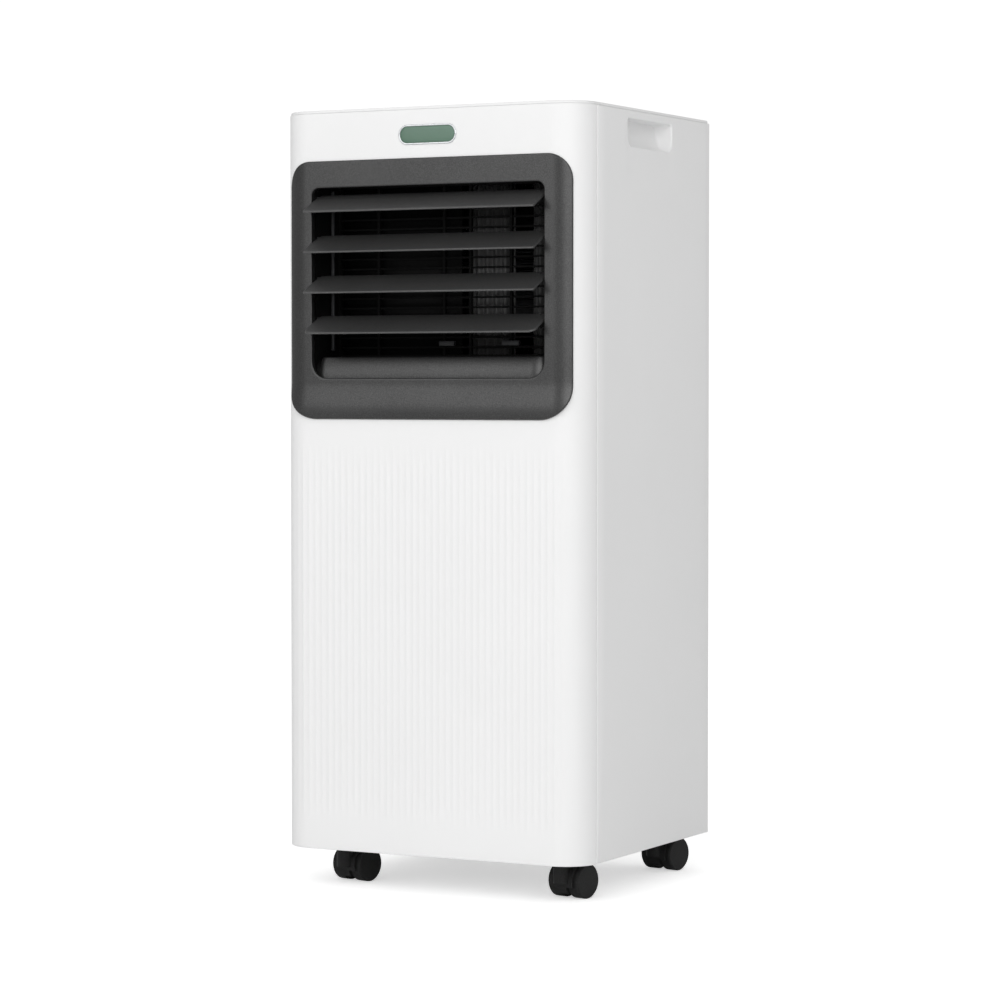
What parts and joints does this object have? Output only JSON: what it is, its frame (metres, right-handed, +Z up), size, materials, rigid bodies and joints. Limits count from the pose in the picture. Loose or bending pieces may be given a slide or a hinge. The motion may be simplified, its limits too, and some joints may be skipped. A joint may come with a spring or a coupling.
{
  "type": "portable air conditioner",
  "caption": "Free-standing portable air conditioner: white cabinet on swivel castors, dark louvred front outlet, rear intake filters and exhaust hose collar.",
  "frame": {"origin": "on the floor under the middle of the whole footprint, louvres and castors included", "axes": "+Z up, the air outlet faces -Y, +X to the right of a person facing the outlet"},
  "size_m": [0.3, 0.2873, 0.685],
  "materials": {
    "white_shell": "fine satin moulded white ABS",
    "base_plastic": "light grey moulded plastic",
    "bezel_plastic": "dark grey satin moulded plastic",
    "black_plastic": "black moulded plastic",
    "louvre_plastic": "dark grey moulded plastic",
    "badge": "green enamel with a silver rim",
    "control_gloss": "gloss black fascia",
    "button_plastic": "light grey moulded keys",
    "window_glass": "smoked clear window",
    "circuit_board": "green circuit laminate",
    "fan_plastic": "dark grey moulded fan",
    "motor_steel": "zinc plated motor can",
    "compressor_paint": "black baked enamel",
    "rubber": "black rubber",
    "coil_aluminium": "bright fin stock",
    "copper": "bare copper tube",
    "filter_mesh": "woven nylon screen",
    "screw_steel": "plated steel screws",
    "castor_plastic": "black nylon",
    "wheel_plastic": "black nylon wheels",
    "axle_steel": "steel pin"
  },
  "bodies": {
    "cabinet": {"front_panel": "white_shell", "side_panel_left": "white_shell", "side_panel_right": "white_shell", "rear_panel": "white_shell", "top_lid": "white_shell", "base_pan": "base_plastic", "badge_plate": "badge", "control_fascia": "control_gloss", "display_window": "window_glass", "control_board": "circuit_board", "outlet_bezel": "bezel_plastic", "outlet_duct": "black_plastic", "guard_grille": "black_plastic", "blower_scroll": "black_plastic", "blower_motor": "motor_steel", "evaporator": "coil_aluminium", "middle_tray": "base_plastic", "compressor": "compressor_paint", "compressor_feet": "rubber", "exhaust_fan_scroll": "black_plastic", "exhaust_fan_motor": "motor_steel", "condenser": "coil_aluminium", "exhaust_collar": "white_shell", "electronics_box": "black_plastic", "refrigerant_pipes": "copper", "cord_bush": "rubber", "panel_screws": "screw_steel"},
    "louvre_1": {"louvre_1": "louvre_plastic"},
    "louvre_2": {"louvre_2": "louvre_plastic"},
    "louvre_3": {"louvre_3": "louvre_plastic"},
    "louvre_4": {"louvre_4": "louvre_plastic"},
    "link_bar": {"louvre_link_bar": "black_plastic"},
    "blower_wheel": {"blower_wheel": "fan_plastic"},
    "exhaust_fan_wheel": {"exhaust_fan_wheel": "fan_plastic"},
    "upper_filter_cassette": {"upper_intake_grille": "white_shell", "upper_filter_screen": "filter_mesh"},
    "lower_filter_cassette": {"lower_intake_grille": "white_shell", "lower_filter_screen": "filter_mesh"},
    "drain_plug": {"drain_plug": "rubber"},
    "button_power": {"button_power": "button_plastic"},
    "button_mode": {"button_mode": "button_plastic"},
    "button_fan_speed": {"button_fan_speed": "button_plastic"},
    "button_temp_down": {"button_temp_down": "button_plastic"},
    "button_temp_up": {"button_temp_up": "button_plastic"},
    "castor_front_left": {"castor_front_left_hood": "castor_plastic", "castor_front_left_axle": "axle_steel"},
    "castor_front_left_wheel_inner": {"castor_front_left_wheel_inner": "wheel_plastic"},
    "castor_front_left_wheel_outer": {"castor_front_left_wheel_outer": "wheel_plastic"},
    "castor_front_right": {"castor_front_right_hood": "castor_plastic", "castor_front_right_axle": "axle_steel"},
    "castor_front_right_wheel_inner": {"castor_front_right_wheel_inner": "wheel_plastic"},
    "castor_front_right_wheel_outer": {"castor_front_right_wheel_outer": "wheel_plastic"},
    "castor_rear_left": {"castor_rear_left_hood": "castor_plastic", "castor_rear_left_axle": "axle_steel"},
    "castor_rear_left_wheel_inner": {"castor_rear_left_wheel_inner": "wheel_plastic"},
    "castor_rear_left_wheel_outer": {"castor_rear_left_wheel_outer": "wheel_plastic"},
    "castor_rear_right": {"castor_rear_right_hood": "castor_plastic", "castor_rear_right_axle": "axle_steel"},
    "castor_rear_right_wheel_inner": {"castor_rear_right_wheel_inner": "wheel_plastic"},
    "castor_rear_right_wheel_outer": {"castor_rear_right_wheel_outer": "wheel_plastic"}
  },
  "joints": [
    {"name": "louvre_1_tilt", "type": "hinge", "parent": "cabinet", "child": "louvre_1", "pos_m": [0, -0.1151, 0.6087], "axis": [1, 0, 0], "range_deg": [-27, 55]},
    {"name": "louvre_2_tilt", "type": "hinge", "parent": "cabinet", "child": "louvre_2", "pos_m": [0, -0.1151, 0.5734], "axis": [1, 0, 0], "range_deg": [-27, 55]},
    {"name": "louvre_3_tilt", "type": "hinge", "parent": "cabinet", "child": "louvre_3", "pos_m": [0, -0.1151, 0.5381], "axis": [1, 0, 0], "range_deg": [-27, 55]},
    {"name": "louvre_4_tilt", "type": "hinge", "parent": "cabinet", "child": "louvre_4", "pos_m": [0, -0.1151, 0.5028], "axis": [1, 0, 0], "range_deg": [-27, 55]},
    {"name": "link_bar_pin", "type": "hinge", "parent": "louvre_1", "child": "link_bar", "pos_m": [0.1085, -0.10514, 0.60778], "axis": [1, 0, 0], "range_deg": [-55, 27]},
    {"name": "blower_spin", "type": "hinge", "parent": "cabinet", "child": "blower_wheel", "pos_m": [0, -0.0015, 0.543], "axis": [1, 0, 0], "continuous": true},
    {"name": "exhaust_fan_spin", "type": "hinge", "parent": "cabinet", "child": "exhaust_fan_wheel", "pos_m": [0.062, -0.0035, 0.185], "axis": [0, 1, 0], "continuous": true},
    {"name": "upper_filter_pull", "type": "slide", "parent": "cabinet", "child": "upper_filter_cassette", "axis": [0, 1, 0], "range_m": [0, 0.06]},
    {"name": "lower_filter_pull", "type": "slide", "parent": "cabinet", "child": "lower_filter_cassette", "axis": [0, 1, 0], "range_m": [0, 0.06]},
    {"name": "drain_plug_pull", "type": "slide", "parent": "cabinet", "child": "drain_plug", "axis": [0, 1, 0], "range_m": [0, 0.03]},
    {"name": "button_power_press", "type": "slide", "parent": "cabinet", "child": "button_power", "axis": [0, 0, -1], "range_m": [0, 0.001], "stiffness_N_per_m": 400, "springref_m": -0.001},
    {"name": "button_mode_press", "type": "slide", "parent": "cabinet", "child": "button_mode", "axis": [0, 0, -1], "range_m": [0, 0.001], "stiffness_N_per_m": 400, "springref_m": -0.001},
    {"name": "button_fan_speed_press", "type": "slide", "parent": "cabinet", "child": "button_fan_speed", "axis": [0, 0, -1], "range_m": [0, 0.001], "stiffness_N_per_m": 400, "springref_m": -0.001},
    {"name": "button_temp_down_press", "type": "slide", "parent": "cabinet", "child": "button_temp_down", "axis": [0, 0, -1], "range_m": [0, 0.001], "stiffness_N_per_m": 400, "springref_m": -0.001},
    {"name": "button_temp_up_press", "type": "slide", "parent": "cabinet", "child": "button_temp_up", "axis": [0, 0, -1], "range_m": [0, 0.001], "stiffness_N_per_m": 400, "springref_m": -0.001},
    {"name": "castor_front_left_swivel", "type": "hinge", "parent": "cabinet", "child": "castor_front_left", "pos_m": [-0.1086, -0.0805, 0.04], "axis": [0, 0, 1], "continuous": true},
    {"name": "castor_front_left_roll_inner", "type": "hinge", "parent": "castor_front_left", "child": "castor_front_left_wheel_inner", "pos_m": [-0.10519, -0.06487, 0.0152], "axis": [0.977, -0.213, 0], "continuous": true},
    {"name": "castor_front_left_roll_outer", "type": "hinge", "parent": "castor_front_left", "child": "castor_front_left_wheel_outer", "pos_m": [-0.10519, -0.06487, 0.0152], "axis": [0.977, -0.213, 0], "continuous": true},
    {"name": "castor_front_right_swivel", "type": "hinge", "parent": "cabinet", "child": "castor_front_right", "pos_m": [0.1086, -0.0805, 0.04], "axis": [0, 0, 1], "continuous": true},
    {"name": "castor_front_right_roll_inner", "type": "hinge", "parent": "castor_front_right", "child": "castor_front_right_wheel_inner", "pos_m": [0.11201, -0.06487, 0.0152], "axis": [0.977, -0.213, 0], "continuous": true},
    {"name": "castor_front_right_roll_outer", "type": "hinge", "parent": "castor_front_right", "child": "castor_front_right_wheel_outer", "pos_m": [0.11201, -0.06487, 0.0152], "axis": [0.977, -0.213, 0], "continuous": true},
    {"name": "castor_rear_left_swivel", "type": "hinge", "parent": "cabinet", "child": "castor_rear_left", "pos_m": [-0.1086, 0.1085, 0.04], "axis": [0, 0, 1], "continuous": true},
    {"name": "castor_rear_left_roll_inner", "type": "hinge", "parent": "castor_rear_left", "child": "castor_rear_left_wheel_inner", "pos_m": [-0.10519, 0.12413, 0.0152], "axis": [0.977, -0.213, 0], "continuous": true},
    {"name": "castor_rear_left_roll_outer", "type": "hinge", "parent": "castor_rear_left", "child": "castor_rear_left_wheel_outer", "pos_m": [-0.10519, 0.12413, 0.0152], "axis": [0.977, -0.213, 0], "continuous": true},
    {"name": "castor_rear_right_swivel", "type": "hinge", "parent": "cabinet", "child": "castor_rear_right", "pos_m": [0.1086, 0.1085, 0.04], "axis": [0, 0, 1], "continuous": true},
    {"name": "castor_rear_right_roll_inner", "type": "hinge", "parent": "castor_rear_right", "child": "castor_rear_right_wheel_inner", "pos_m": [0.11201, 0.12413, 0.0152], "axis": [0.977, -0.213, 0], "continuous": true},
    {"name": "castor_rear_right_roll_outer", "type": "hinge", "parent": "castor_rear_right", "child": "castor_rear_right_wheel_outer", "pos_m": [0.11201, 0.12413, 0.0152], "axis": [0.977, -0.213, 0], "continuous": true}
  ],
  "couplings": [
    {"joint": "louvre_2_tilt", "follows": "louvre_1_tilt", "ratio": 1},
    {"joint": "louvre_3_tilt", "follows": "louvre_1_tilt", "ratio": 1},
    {"joint": "louvre_4_tilt", "follows": "louvre_1_tilt", "ratio": 1},
    {"joint": "link_bar_pin", "follows": "louvre_1_tilt", "ratio": -1}
  ]
}
